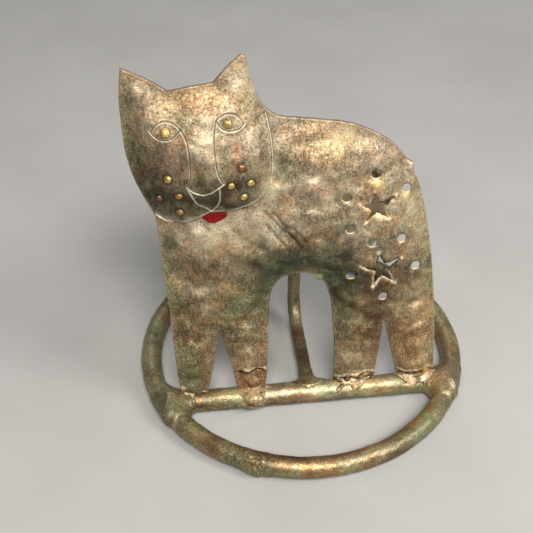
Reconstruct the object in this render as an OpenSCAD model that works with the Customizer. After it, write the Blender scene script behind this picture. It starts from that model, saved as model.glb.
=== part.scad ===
// Cat-shaped candle holder of hammered sheet metal. The cat stands on a bar welded across a ring
// of round rod, and a bent rod behind it carries the dish for the candle.
// Frame: origin on the table under the middle of the ring, +Z up, the cat faces -Y.

/* [Ring base] */
// Radius of the ring, measured to the middle of its rod
ring_r = 57; // [55:0.5:60]
// Diameter of the ring's rod
rod_d = 8; // [7.5:0.25:8.5]
// Diameter of the bar that crosses the ring
bar_d = 8.4; // [8.2:0.1:9]
// Distance of the bar in front of the ring's middle
bar_out = 22.4; // [20:0.2:24]

/* [Cat] */
// Thickness of the sheet
sheet_t = 1.5; // [1.2:0.1:1.8]
// Angle by which the cat leans back
lean = 7; // [5:0.5:9]
// How far the head is beaten out of the sheet
head_rise = 5.2; // [4.6:0.1:5.6]
// How far the body is beaten out of the sheet
body_rise = 3.2; // [2.6:0.1:3.6]
// Diameter of the punched light holes
hole_d = 2.8; // [2.4:0.1:3.2]
// Diameter of the heads of the brass pins
pin_d = 2.2; // [1.9:0.1:2.5]

/* [Candle support] */
// Diameter of the rod that carries the dish
stem_d = 5.4; // [5:0.2:6]
// Distance of the upright behind the ring's middle
stem_back = 21; // [20:0.5:22]
// Radius of the bend in the stem, to the middle of its rod
bend_r = 10; // [8:1:12]
// Height of the dish's floor above the table
dish_z = 57; // [55:0.5:59]
// Outer radius of the dish
dish_r = 35.5; // [34:0.5:35.5]
// Height of the dish's rim above its floor
dish_rim = 5; // [4:0.5:6]
// Thickness of the dish's metal
dish_t = 1.2; // [1:0.1:1.5]

/* [Hidden] */
$fn = 96;
bar_y = -bar_out;
bar_z = bar_d / 2;
feet_z = bar_d - 0.4;
bar_end_x = 50;
joint_x = 47.6;
joint_turn = asin(bar_out / ring_r);
seam_angle = 244;
upper_bead_angle = 240;
stem_z = bar_z;
head_at = [-33, 98];
head_cap_r = 26;
body_at = [8, 74];
body_cap_r = 30;
shank_d = 1.1;
tongue_t = 0.7;
far = 200;

// ---- Outline of the cat, x across and y up the sheet, clockwise from the tip of the left ear.
// Each stretch is one smooth line or one straight edge, and it starts where the last one ended.
outline_stretches = [
  [[-57, 125], [-51, 122], [-43.5, 117]],
  [[-43.5, 117], [-37, 118], [-30, 119]],
  [[-30, 119], [-26, 123.5], [-21.5, 127.3]],
  [[-21.5, 127.3], [-20.3, 126.6]],
  [
    [-20.3, 126.6], [-18.5, 119], [-16, 112.5], [-13, 108.5], [-8, 106.5], [8.5, 104], [17, 101],
    [25, 96], [31, 88.8], [35.5, 79], [39, 65], [42, 47], [44.3, 27], [46, 0],
  ],
  [[46, 0], [32.5, 0]],
  [[32.5, 0], [26.3, 26.6]],
  [[26.3, 26.6], [23.5, 0]],
  [[23.5, 0], [9, 0]],
  [
    [9, 0], [9, 14], [8, 28], [6.8, 38], [3.5, 46], [-3, 49], [-10, 47.5], [-13.5, 42],
    [-14.5, 32], [-15.2, 14], [-16, 0],
  ],
  [[-16, 0], [-26, 0]],
  [[-26, 0], [-28.5, 14], [-32, 27]],
  [[-32, 27], [-34, 14], [-37, 0]],
  [[-37, 0], [-46.5, 0]],
  [[-46.5, 0], [-47.5, 14], [-48.4, 38], [-49.5, 58], [-50.2, 75]],
  [[-50.2, 75], [-54, 83.5], [-57, 93], [-58.2, 104], [-58, 117], [-57, 125]],
];
feet = [[-46.5, -37], [-26, -16], [9, 23.5], [32.5, 46]];
light_holes = [
  [20, 86.5], [10.5, 79.5], [12, 68], [19.5, 62], [30.5, 80], [29.5, 62.5], [35.5, 50], [13, 49.5], [24.5, 39.5],
];
star_inset = 0.42;
star_tips = [
  [[19.5, 80], [26, 78], [24, 71.5], [17, 70], [15.5, 76.5]],
  [[22, 57], [29, 54.5], [27.5, 45.5], [20.5, 45], [16.5, 53]],
];
tongue_edge = [
  [-35.6, 76], [-34.2, 77.4], [-31.5, 78.4], [-28, 78], [-28.5, 76.2], [-31.6, 74.6], [-34, 74.8],
];
eye_left = [-45.2, 106.5];
eye_right = [-26.5, 108.2];
whiskers_left = [[-45.5, 91], [-42.5, 85.5], [-48.5, 83], [-42.5, 79]];
whiskers_right = [[-23, 95], [-26.5, 89.5], [-20.3, 89.5], [-22.5, 84.7]];

// A point on the smooth curve through four neighbouring points
function smooth_point(a, b, c, d, t) =
  0.5 * (2 * b + (c - a) * t + (2 * a - 5 * b + 4 * c - d) * t * t + (3 * b - a - 3 * c + d) * t * t * t);
function last(list) = len(list) - 1;
// A stretch as a polyline: straight for two points, smooth for more, without its end point
function smoothed(s) =
  len(s) == 2 ? [s[0]] :
  [
    for (i = [0:last(s) - 1], k = [0:4])
      smooth_point(s[max(i - 1, 0)], s[i], s[i + 1], s[min(i + 2, last(s))], k / 5)
  ];
outline = [for (s = outline_stretches) each smoothed(s)];
function mean(list) = list * [for (i = list) 1] / len(list);
function star(tips) =
  let (mid = [mean([for (p = tips) p.x]), mean([for (p = tips) p.y])])
  [
    for (i = [0:last(tips)])
      each [tips[i], mid + star_inset * ((tips[i] + tips[(i + 1) % len(tips)]) - 2 * mid) / 2]
  ];
// Radius of the sphere whose cap has a given radius and rise
function cap_sphere_r(cap_r, rise) = (cap_r * cap_r + rise * rise) / (2 * rise);
head_sphere_r = cap_sphere_r(head_cap_r, head_rise);
body_sphere_r = cap_sphere_r(body_cap_r, body_rise);

// ---- Placing
module on_sheet() {
  translate([0, bar_y, feet_z]) rotate([-lean, 0, 0]) children();
}

// A solid of a flat shape drawn across and up the sheet, reaching from front to back of it
module through_sheet() {
  translate([0, far / 2, 0]) rotate([90, 0, 0]) linear_extrude(far) children();
}

// Everything between two depths behind the flat front of the sheet
module layer(front, back) {
  translate([-far / 2, front, -far / 2]) cube([far, back - front, 2 * far]);
}

module cap_ball(at, rise, ball_r, in = 0) {
  translate([at.x, ball_r - rise, at.y]) sphere(ball_r - in);
}

module head_ball(in = 0) {
  cap_ball(head_at, head_rise, head_sphere_r, in);
}

module body_ball(in = 0) {
  cap_ball(body_at, body_rise, body_sphere_r, in);
}

// A place on the front of the head, at a point across and up the sheet, with Z pointing out of it
module on_head(p) {
  off = p - head_at;
  tilt = -asin(off.y / head_sphere_r);
  turn = asin(off.x / (head_sphere_r * cos(tilt)));
  translate([head_at.x, head_sphere_r - head_rise, head_at.y]) rotate([tilt, 0, turn])
    translate([0, -head_sphere_r, 0]) rotate([90, 0, 0]) children();
}

// ---- Rods
module ring_rod() {
  translate([0, 0, rod_d / 2]) rotate_extrude() translate([ring_r, 0]) circle(d = rod_d);
}

module bar_rod() {
  translate([-bar_end_x, bar_y, bar_z]) rotate([0, 90, 0]) cylinder(d = bar_d, h = 2 * bar_end_x);
}

module stem_rod() {
  level_end = stem_back - bend_r;
  translate([0, level_end, stem_z]) rotate([90, 0, 0]) cylinder(d = stem_d, h = level_end - bar_y);
  translate([0, level_end, stem_z + bend_r]) rotate([0, 90, 0])
    rotate_extrude(angle = 90) translate([bend_r, 0]) circle(d = stem_d);
  translate([0, stem_back, stem_z + bend_r])
    cylinder(d = stem_d, h = dish_z - dish_t - stem_z - bend_r);
}

// A bead of weld metal round a rod whose axis is Z, or round part of it
module weld_bead(rod, bead, angle = 360) {
  rotate_extrude(angle = angle) translate([rod / 2, 0]) circle(d = bead);
}

// The same round a rod whose axis is Y, and open underneath so that it stays off the table
module upper_bead(rod, bead) {
  below = (upper_bead_angle - 180) / 2;
  rotate([90, 0, 0]) rotate([0, 0, -below]) weld_bead(rod, bead, upper_bead_angle);
}

// A spindle along X that thins to nothing at both ends
module spindle(length, r) {
  arc_r = (length * length / 4 + r * r) / (2 * r);
  rotate([0, 90, 0]) rotate_extrude() intersection() {
    translate([r - arc_r, 0]) circle(arc_r);
    translate([0, -length / 2]) square([r, length]);
  }
}

// ---- The cat
// One sheet: flat round its edge, with the head and the body beaten out of it
module cat_sheet() {
  color([0.62, 0.56, 0.42]) on_sheet() difference() {
    union() {
      difference() {
        intersection() {
          through_sheet() polygon(outline);
          layer(0, sheet_t);
        }
        head_ball(sheet_t);
        body_ball(sheet_t);
      }
      intersection() {
        through_sheet() polygon(outline);
        difference() {
          union() {
            head_ball();
            body_ball();
          }
          head_ball(sheet_t);
          body_ball(sheet_t);
          layer(sheet_t, far);
        }
      }
    }
    for (p = light_holes) pierce(p);
    for (p = concat([eye_left, eye_right], whiskers_left, whiskers_right))
      on_head(p) translate([0, 0, -far / 10]) cylinder(d = shank_d, h = far / 5);
    for (tips = star_tips) through_sheet() polygon(star(tips));
    bar_seat();
  }
}

module pierce(p) {
  translate([p.x, far / 2, p.y]) rotate([90, 0, 0]) cylinder(d = hole_d, h = far);
}

// The bar, as it lies in the sheet's own frame
module bar_seat() {
  rotate([lean, 0, 0]) translate([0, -bar_y, -feet_z]) bar_rod();
}

// A red enamelled leaf that lies on the sheet below the mouth
module tongue() {
  color([0.6, 0.08, 0.1]) on_sheet() difference() {
    intersection() {
      through_sheet() polygon(tongue_edge);
      head_ball(-tongue_t);
      layer(-far, 0);
    }
    head_ball();
  }
}

// A domed pin: its head sits on the face and its shank fills the hole behind
module pin(p, d) {
  shank = sheet_t + 0.6;
  on_sheet() on_head(p) rotate_extrude() {
    intersection() {
      circle(d = d);
      square(d);
    }
    translate([0, -shank]) square([shank_d / 2, shank]);
  }
}

module eye_pin_left() {
  color("goldenrod") pin(eye_left, pin_d + 0.3);
}

module eye_pin_right() {
  color("goldenrod") pin(eye_right, pin_d + 0.1);
}

module whisker_pins_left() {
  color("goldenrod") for (p = whiskers_left) pin(p, pin_d);
}

module whisker_pins_right() {
  color("goldenrod") for (p = whiskers_right) pin(p, pin_d);
}

// ---- The base
module base_ring() {
  color([0.6, 0.57, 0.42]) ring_rod();
}

// The bead that closes the ring where the two ends of its rod meet
module ring_seam_weld() {
  color([0.65, 0.55, 0.4]) difference() {
    rotate([0, 0, seam_angle]) translate([ring_r, 0, rod_d / 2]) upper_bead(rod_d - 1, 2.6);
    ring_rod();
  }
}

module crossbar() {
  color([0.58, 0.55, 0.42]) difference() {
    bar_rod();
    ring_rod();
  }
}

module bar_weld(side) {
  difference() {
    translate([side * joint_x, bar_y, bar_z]) rotate([0, 0, 90 - side * joint_turn]) upper_bead(bar_d, 3);
    ring_rod();
    bar_rod();
  }
}

module bar_weld_left() {
  color([0.65, 0.55, 0.4]) bar_weld(-1);
}

module bar_weld_right() {
  color([0.65, 0.55, 0.4]) bar_weld(1);
}

// ---- Brazing under the feet
// A mound of braze along one foot, on top of the bar and on both sides of the sheet
module foot_braze(foot, r) {
  width = foot[1] - foot[0];
  difference() {
    translate([(foot[0] + foot[1]) / 2, bar_y + sheet_t / 2, bar_d - 0.5]) spindle(width + 4, r);
    bar_rod();
    on_sheet() translate([foot[0], 0, -5]) cube([width, sheet_t, 20]);
  }
}

module foot_braze_1() {
  color([0.66, 0.5, 0.3]) foot_braze(feet[0], 2.6);
}

// The braze under the second foot ran down the front of the bar
module foot_braze_2() {
  color([0.66, 0.5, 0.3]) {
    foot_braze(feet[1], 3.2);
    difference() {
      translate([-20.5, bar_y - 2.6, 5.4]) sphere(3.6);
      bar_rod();
      translate([-far / 2, -far / 2, bar_d - 0.5]) cube(far);
    }
  }
}

module foot_braze_3() {
  color([0.66, 0.5, 0.3]) foot_braze(feet[2], 3.2);
}

module foot_braze_4() {
  color([0.66, 0.5, 0.3]) foot_braze(feet[3], 3.2);
}

// ---- The candle support
module candle_stem() {
  color([0.5, 0.45, 0.32]) difference() {
    stem_rod();
    bar_rod();
  }
}

module stem_weld() {
  color([0.65, 0.55, 0.4]) difference() {
    translate([0, bar_y + bar_d / 2 + 0.5, stem_z]) rotate([90, 0, 0]) weld_bead(stem_d, 2.8);
    bar_rod();
    stem_rod();
  }
}

// A round pan with a flat floor, a nearly straight side and a rolled edge
module candle_dish() {
  floor_r = dish_r - 2.5;
  lip_r = 1;
  lip_at = dish_r - lip_r;
  color([0.56, 0.48, 0.36]) translate([0, stem_back, dish_z - dish_t]) rotate_extrude() {
    polygon([
      [0, 0], [floor_r, 0], [lip_at + dish_t / 2, dish_rim], [lip_at - dish_t / 2, dish_rim + 0.4],
      [floor_r - 0.6, dish_t], [0, dish_t],
    ]);
    translate([lip_at, dish_rim + 0.4]) circle(lip_r);
  }
}

module dish_weld() {
  color([0.65, 0.55, 0.4]) translate([0, stem_back, dish_z - dish_t]) difference() {
    weld_bead(stem_d, 3);
    translate([0, 0, -far / 2]) cylinder(d = stem_d, h = far);
    translate([-far / 2, -far / 2, 0]) cube(far);
  }
}

cat_sheet();
tongue();
eye_pin_left();
eye_pin_right();
whisker_pins_left();
whisker_pins_right();
base_ring();
ring_seam_weld();
crossbar();
bar_weld_left();
bar_weld_right();
foot_braze_1();
foot_braze_2();
foot_braze_3();
foot_braze_4();
candle_stem();
stem_weld();
candle_dish();
dish_weld();
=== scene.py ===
"""The looks of a hammered sheet-metal cat candle holder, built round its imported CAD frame."""

import math

import bmesh
import bpy
import numpy as np
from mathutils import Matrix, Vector, kdtree, noise
from mathutils.geometry import delaunay_2d_cdt


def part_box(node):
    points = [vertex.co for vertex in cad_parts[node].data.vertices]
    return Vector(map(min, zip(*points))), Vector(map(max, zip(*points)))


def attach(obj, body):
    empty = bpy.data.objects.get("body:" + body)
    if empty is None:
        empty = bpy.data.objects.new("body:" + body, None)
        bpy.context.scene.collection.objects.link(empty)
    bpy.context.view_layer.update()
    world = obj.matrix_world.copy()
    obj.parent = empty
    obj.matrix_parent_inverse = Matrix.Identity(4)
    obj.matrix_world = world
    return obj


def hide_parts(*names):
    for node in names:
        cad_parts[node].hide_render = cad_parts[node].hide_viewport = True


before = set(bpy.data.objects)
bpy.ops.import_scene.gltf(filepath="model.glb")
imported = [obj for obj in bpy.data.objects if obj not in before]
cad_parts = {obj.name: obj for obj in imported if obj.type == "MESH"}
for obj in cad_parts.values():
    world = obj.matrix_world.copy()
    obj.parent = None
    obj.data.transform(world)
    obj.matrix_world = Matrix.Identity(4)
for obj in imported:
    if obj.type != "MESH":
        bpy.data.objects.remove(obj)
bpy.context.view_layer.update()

MM = 0.001


# ---- Places taken from the frame, in millimetres
def box_mm(node):
    low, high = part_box(node)
    return np.array(low) / MM, np.array(high) / MM


ring_low, ring_high = box_mm("base_ring")
bar_low, bar_high = box_mm("crossbar")
stem_low, stem_high = box_mm("candle_stem")
dish_low, dish_high = box_mm("candle_dish")
ROD_R = (ring_high[2] - ring_low[2]) / 2
RING_R = ring_high[0] - ROD_R
BAR_R = (bar_high[2] - bar_low[2]) / 2
BAR_Y = (bar_high[1] + bar_low[1]) / 2
BAR_END = bar_high[0]
STEM_R = (stem_high[0] - stem_low[0]) / 2
STEM_Y = stem_high[1] - STEM_R
STEM_TOP = stem_high[2]
DISH_R = dish_high[0]
FEET_SUNK = 0.4
FEET_Z = bar_high[2] - FEET_SUNK
# Sizes inside the boxes, as the part has them
STEM_BEND = 10
LEAN = math.radians(7)
SHEET_T = 1.5
SHEET_ORIGIN = np.array([0, BAR_Y, FEET_Z])
ACROSS = np.array([1.0, 0, 0])
UP_SHEET = np.array([0, math.sin(LEAN), math.cos(LEAN)])
OUT_OF_SHEET = np.array([0, -math.cos(LEAN), math.sin(LEAN)])


def from_sheet(across, up, out):
    """Points given across, up and out of the sheet, as points in the row frame, in millimetres."""
    across, up, out = (np.asarray(v, float)[..., None] for v in (across, up, out))
    return SHEET_ORIGIN + across * ACROSS + up * UP_SHEET + out * OUT_OF_SHEET


# ---- Camera, in metres
CAMERA_AT = (-0.0442, -0.2686, 0.2765)
CAMERA_TOWARDS = Vector((0.0874, 0.7568, -0.6478))
SENSOR_MM = 36
FRAME_WIDTH = 533
FOCAL_LENGTH = 1000  # in the units of the frame's width


def add_camera():
    data = bpy.data.cameras.new("camera")
    data.sensor_width = SENSOR_MM
    data.lens = FOCAL_LENGTH / FRAME_WIDTH * SENSOR_MM
    data.clip_start = 0.01
    camera = bpy.data.objects.new("camera", data)
    camera.location = CAMERA_AT
    camera.rotation_euler = CAMERA_TOWARDS.to_track_quat("-Z", "Y").to_euler()
    bpy.context.scene.collection.objects.link(camera)
    bpy.context.scene.camera = camera


add_camera()


# ---- Lines and distances, in millimetres
def smooth_line(points, step):
    """A smooth line through given points, or a straight one through two, cut into equal steps."""
    points = [np.array(p, float) for p in points]
    if len(points) == 2:
        dense = np.array(points)
    else:
        padded = [points[0], *points, points[-1]]
        dense = []
        for a, b, c, d in zip(padded, padded[1:], padded[2:], padded[3:]):
            for t in np.linspace(0, 1, 12, endpoint=False):
                curve = 2 * b + (c - a) * t + (2 * a - 5 * b + 4 * c - d) * t * t
                dense.append((curve + (3 * b - a - 3 * c + d) * t**3) / 2)
        dense = np.array([*dense, points[-1]])
    along = np.concatenate([[0], np.cumsum(np.linalg.norm(np.diff(dense, axis=0), axis=1))])
    count = max(2, round(along[-1] / step) + 1)
    at = np.linspace(0, along[-1], count)
    return np.stack([np.interp(at, along, dense[:, i]) for i in range(dense.shape[1])], axis=1)


def closed_line(stretches, step):
    """Stretches that each start where the last one ended, as one loop without repeated points."""
    return np.concatenate([smooth_line(s, step)[:-1] for s in stretches])


def lines_of(strokes, step):
    return [smooth_line(stroke, step) for stroke in strokes]


def tree_of(lines):
    points = np.concatenate(lines)
    tree = kdtree.KDTree(len(points))
    for i, p in enumerate(points):
        tree.insert((p[0], p[1], 0), i)
    tree.balance()
    return tree


def distance(tree, points):
    return np.array([tree.find((p[0], p[1], 0))[2] for p in points])


def fade(away, width):
    """1 at no distance, falling as a bell over about a width."""
    return np.exp(-((away / width) ** 2))


def near(tree, points, width):
    """1 on the lines of a tree, fading beside them."""
    return fade(distance(tree, points), width)


def unit(vectors):
    return vectors / np.linalg.norm(vectors, axis=-1, keepdims=True)


def square_to(along):
    """Unit vectors at right angles to a flat line's directions."""
    return unit(np.stack([along[:, 1], -along[:, 0]], axis=1))


def inside(loop, points):
    """Whether each point lies inside a closed loop."""
    x, y = points[:, 0], points[:, 1]
    result = np.zeros(len(points), bool)
    for (ax, ay), (bx, by) in zip(loop, np.roll(loop, -1, axis=0)):
        if ay == by:
            continue
        crosses = (ay > y) != (by > y)
        result ^= crosses & (x < ax + (y - ay) * (bx - ax) / (by - ay))
    return result


def ripple(points, size, seed):
    """Smooth noise from -1 to 1 at points in two or three dimensions, with lumps of about a given size."""
    offset = Vector((seed * 7.31, seed * 3.17, seed * 5.77))
    flat = points.shape[1] == 2
    return np.array([
        noise.noise(Vector((p[0], p[1], 0 if flat else p[2])) / size + offset) for p in points
    ])


def ramp(x, low, high):
    """0 below low, 1 above high, and smooth between."""
    t = np.clip((x - low) / (high - low), 0, 1)
    return t * t * (3 - 2 * t)


# ---- The cat's drawing, across and up the sheet in millimetres
OUTLINE = [
    [(-57, 125), (-51, 122), (-43.5, 117)],
    [(-43.5, 117), (-37, 118), (-30, 119)],
    [(-30, 119), (-26, 123.5), (-21.5, 127.3)],
    [(-21.5, 127.3), (-20.3, 126.6)],
    [
        (-20.3, 126.6), (-18.5, 119), (-16, 112.5), (-13, 108.5), (-8, 106.5), (8.5, 104), (17, 101),
        (25, 96), (31, 88.8), (35.5, 79), (39, 65), (42, 47), (44.3, 27), (46, 0),
    ],
    [(46, 0), (32.5, 0)],
    [(32.5, 0), (26.3, 26.6)],
    [(26.3, 26.6), (23.5, 0)],
    [(23.5, 0), (9, 0)],
    [
        (9, 0), (9, 14), (8, 28), (6.8, 38), (3.5, 46), (-3, 49), (-10, 47.5), (-13.5, 42),
        (-14.5, 32), (-15.2, 14), (-16, 0),
    ],
    [(-16, 0), (-26, 0)],
    [(-26, 0), (-28.5, 14), (-32, 27)],
    [(-32, 27), (-34, 14), (-37, 0)],
    [(-37, 0), (-46.5, 0)],
    [(-46.5, 0), (-47.5, 14), (-48.4, 38), (-49.5, 58), (-50.2, 75)],
    [(-50.2, 75), (-54, 83.5), (-57, 93), (-58.2, 104), (-58, 117), (-57, 125)],
]
# Stretches of the outline that meet in notches and the long ones beside them; the feet are in neither
NOTCH_EDGES = (0, 1, 2, 3, 6, 7, 11, 12)
SIDE_EDGES = (4, 9, 14, 15)
HOLE_R = 1.45
LIGHT_HOLES = [
    (20, 86.5), (10.5, 79.5), (12, 68), (19.5, 62), (30.5, 80), (29.5, 62.5), (35.5, 50), (13, 49.5),
    (24.5, 39.5),
]
STAR_INSET = 0.42
STARS = [
    [(19.5, 80), (26, 78), (24, 71.5), (17, 70), (15.5, 76.5)],
    [(22, 57), (29, 54.5), (27.5, 45.5), (20.5, 45), (16.5, 53)],
]
JAW = [
    [
        (-14.5, 108.5), (-13.3, 101), (-13, 92), (-14.5, 86), (-17.5, 82.3), (-21.5, 80), (-27, 79),
        (-33, 78.7),
    ],
    [(-33, 78.7), (-36, 76.5), (-39.5, 75), (-43, 74), (-47, 74), (-50.2, 75.8)],
]
DARK_LINES = [
    [
        (-49.7, 106.4), (-47.7, 108.7), (-45, 109.4), (-41.5, 108), (-39.2, 104), (-38.5, 98), (-38.7, 92),
        (-39.8, 88.9),
    ],
    [(-49.7, 106.4), (-47.5, 104.4), (-44, 104.6), (-40.5, 107.3)],
    [(-30, 109.3), (-28, 110.5), (-26, 111), (-23.5, 110), (-21.5, 107.3)],
    [(-30, 109.3), (-28.5, 107), (-26, 106), (-23, 106.3), (-21.5, 107.3)],
    [(-30, 109.3), (-31, 103.5), (-30.8, 98), (-30.2, 93.5), (-28.7, 90.4)],
]
BRIGHT_LINES = [
    [(-39.8, 88.9), (-38, 87.3), (-35.3, 86.6), (-33, 87.4), (-31, 88.9), (-28.7, 90.4)],
    [(-39.8, 88.9), (-38.7, 86.3), (-37, 83), (-35, 81.5), (-32.5, 79.3)],
    [(-30, 88.9), (-30, 85.5), (-30.5, 82.5), (-32.5, 79.3)],
]
TONGUE = [(-35.6, 76), (-34.2, 77.4), (-31.5, 78.4), (-28, 78), (-28.5, 76.2), (-31.6, 74.6), (-34, 74.8)]
EYES = {"eye_pin_left": (-45.2, 106.5), "eye_pin_right": (-26.5, 108.2)}
WHISKERS = {
    "whisker_pins_left": [(-45.5, 91), (-42.5, 85.5), (-48.5, 83), (-42.5, 79)],
    "whisker_pins_right": [(-23, 95), (-26.5, 89.5), (-20.3, 89.5), (-22.5, 84.7)],
}
HEAD_AT = (-34, 97)
HEAD_RADII = (24.5, 27)
HEAD_RISE = 5.2
JAW_STEP = 1.6
BEYOND_HEAD = [(-65, 76), (-65, 135), (-14.5, 135)]
BODY_AT = (4, 60)
BODY_RADII = (45, 36)
BODY_RISE = 5.4
# Broad hammered hills and hollows: place, two radii and rise
HAMMERED = [
    ((-20, 44), (9, 8), 1.0), ((0, 66), (10, 7), -0.8), ((-38, 58), (8, 9), 0.8),
    ((18, 60), (9, 7), -0.7), ((29, 68), (7, 10), 0.8), ((10, 92), (12, 7), 0.7),
    ((-31, 90), (9, 9), 2.0), ((-45, 96), (5, 7), -0.6),
]
# How far up braze ran on the second, third and fourth leg, and the span of each of those legs
SPLASH_EDGES = [
    [(-27, 9.4), (-24.5, 10.4), (-22, 9.8), (-19, 10.4), (-15.8, 9.2)],
    [(8.6, 3.6), (11.5, 2.6), (14, 3.2), (17, 3), (20, 4.2), (24, 3.8)],
    [(32, 4.4), (35, 3.2), (38, 3.9), (41, 3.3), (43.5, 4.2), (46.5, 2.6)],
]
SPLASH_LEGS = [(-29, -15), (8, 25), (31, 47)]
STROKES = [
    [(-16, 77), (-9.5, 69)], [(-13.2, 76), (-8, 69.6)], [(-15.5, 72), (-11, 66)],
    [(-9.8, 70.5), (-4, 62.5)], [(-12.5, 68), (-7.8, 61.6)], [(-6.4, 69.6), (-2.5, 64.5)],
]
# Nubs on the cut edge: place, two radii and the way each stands out
NUBS = [((31.6, 87.2), (1.1, 1.9), (0.9, 0.5)), ((2.8, 47), (1, 1), (-0.5, -0.8))]
PUNCHED_R = 2.4
THINNED_BY = 0.75
# Depth and width of the chased lines
JAW_GROOVE = (0.30, 0.22)
FACE_GROOVE = (0.24, 0.18)


def star_edges(tips):
    tips = np.array(tips, float)
    middle = tips.mean(axis=0)
    notches = middle + STAR_INSET * ((tips + np.roll(tips, -1, axis=0)) / 2 - middle)
    corners = np.stack([tips, notches], axis=1).reshape(-1, 2)
    return [[a, b] for a, b in zip(corners, np.roll(corners, -1, axis=0))]


def star_loop(tips, step):
    return closed_line(star_edges(tips), step)


def burr_places(tips):
    """Just past the star's tips, where the chisel's corners stopped."""
    tips = np.array(tips, float)
    middle = tips.mean(axis=0)
    return middle + 1.12 * (tips - middle)


def circle_loop(middle, r, count):
    turn = np.linspace(0, 2 * math.pi, count, endpoint=False)
    return np.array(middle) + r * np.stack([np.cos(turn), np.sin(turn)], axis=1)


outline_tree = tree_of([closed_line(OUTLINE, 0.1)])
notch_tree = tree_of([smooth_line(OUTLINE[i], 0.1) for i in NOTCH_EDGES])
side_tree = tree_of([smooth_line(OUTLINE[i], 0.1) for i in SIDE_EDGES])
splash_tree = tree_of(lines_of(SPLASH_EDGES, 0.1))
stroke_tree = tree_of(lines_of(STROKES, 0.1))
burr_tree = tree_of([burr_places(tips) for tips in STARS])
star_tree = tree_of([star_loop(tips, 0.05) for tips in STARS])
hole_tree = tree_of([circle_loop(p, HOLE_R, 96) for p in LIGHT_HOLES])
jaw_tree = tree_of(lines_of(JAW, 0.05))
head_region = np.concatenate([*lines_of(JAW, 0.5), BEYOND_HEAD])
face_tree = tree_of(lines_of(DARK_LINES + BRIGHT_LINES, 0.05))
dark_tree = tree_of(lines_of(DARK_LINES, 0.05))
bright_tree = tree_of(lines_of(JAW + BRIGHT_LINES, 0.05))


# ---- The relief beaten into the sheet
def groove(d, depth, width):
    """A chased line: a rounded furrow with a low burr thrown up beside it."""
    return -depth * fade(d, width) + 0.3 * depth * fade(d - 2.3 * width, width)


def swell(points, at, radii, rise):
    """A smooth hill of a given rise, or a hollow where the rise is negative."""
    away = ((points - np.array(at)) / np.array(radii)) ** 2
    return rise * np.exp(-away.sum(axis=1))


def from_edge(points):
    """Distance from the cut edge, feet left out, with no ridge where two edges are equally near."""
    soft = 2.2
    near = np.exp(-distance(notch_tree, points) / soft) + np.exp(-distance(side_tree, points) / soft)
    return np.maximum(-soft * np.log(near), 0)


def broad_relief(points):
    """How far the sheet stands out, without its chased lines and pierced edges."""
    edge = from_edge(points)
    rim = 1 - fade(edge, 7)
    pillow = 0.7 * (1 - fade(edge, 2.8))
    body = swell(points, BODY_AT, BODY_RADII, BODY_RISE)
    head = swell(points, HEAD_AT, HEAD_RADII, HEAD_RISE)
    jaw = distance(jaw_tree, points)
    on_head = inside(head_region, points)
    step = np.where(on_head, JAW_STEP * (1 - fade(jaw, 3.2)), -0.9 * fade(jaw, 6))
    hammered = sum(swell(points, *mark) for mark in HAMMERED)
    broad_dents = 1.15 * ripple(points, 11, 1) * rim
    dents = (0.85 * ripple(points, 5, 2) + 0.22 * ripple(points, 2.2, 3)) * (1 - fade(edge, 3.2))
    dents *= 1.2 + 0.9 * ramp(50 - points[:, 1], 0, 20) - 0.5 * swell(points, HEAD_AT, HEAD_RADII, 1)
    return pillow + rim * (body + head + step + hammered) + broad_dents + dents


def punched_flat(points):
    """The broad relief, flattened against the die round each punched hole."""
    out = broad_relief(points)
    for middle, level in zip(LIGHT_HOLES, broad_relief(np.array(LIGHT_HOLES, float))):
        away = np.linalg.norm(points - np.array(middle), axis=1)
        out += (level - out) * np.exp(-((away / PUNCHED_R) ** 4))
    return out


def burrs(points):
    """Crumbs of metal thrown up at the tips of the stars."""
    lumps = 1 + 1.1 * ripple(points, 0.7, 4)
    return lumps * near(burr_tree, points, 0.6)


def nubs(points):
    """Lumps of metal left standing at two places on the cut edge."""
    lumps = 0.8 + 0.7 * ripple(points, 0.9, 9)
    return 1.3 * lumps * sum(swell(points, at, radii, 1) for at, radii, _ in NUBS)


def splash(points):
    """Braze that ran up three legs: where it lies, its raised edge and the hollow under that edge, which is
    painted dark as shade.
    """
    across, up = points[:, 0], points[:, 1]
    run = np.zeros(len(points))
    for (left, right), edge in zip(SPLASH_LEGS, SPLASH_EDGES):
        line = smooth_line(edge, 0.1)
        below = np.interp(across, line[:, 0], line[:, 1]) - up
        run += (across > left) * (across < right) * ramp(below, 0, 0.6)
    away = distance(splash_tree, points)
    lip = fade(away, 0.32) * (0.7 + 1.1 * ripple(points, 1.5, 6))
    under = fade(away - 0.9, 0.45) * run * (0.9 + ripple(points, 2, 16))
    return run, lip, under


def front_relief(points):
    """The front, with its chased lines, chisel strokes, driven-in openings and what stands up from it."""
    lines = groove(distance(jaw_tree, points), *JAW_GROOVE)
    lines += groove(distance(face_tree, points), *FACE_GROOVE)
    lines -= 0.45 * near(stroke_tree, points, 0.5) * (1 + ripple(points, 2, 8))
    driven = -0.3 * near(hole_tree, points, 0.7)
    torn = -0.45 * near(star_tree, points, 0.6)
    run, lip, under = splash(points)
    crumpled = 0.4 * run * (0.5 + ripple(points, 1.6, 7)) + 0.6 * lip - 0.4 * under
    raised = punched_flat(points) + lines + driven + torn + 0.75 * burrs(points)
    return raised + crumpled + 1.1 * nubs(points)


def back_relief(points):
    """The back follows the front, with the chased lines as low ridges, and is thin round the openings."""
    lines = -0.25 * near(jaw_tree, points, 0.7) - 0.2 * near(face_tree, points, 0.6)
    opening = np.minimum(distance(hole_tree, points), distance(star_tree, points))
    return punched_flat(points) + lines - SHEET_T + THINNED_BY * fade(opening, 1.2)


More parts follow.
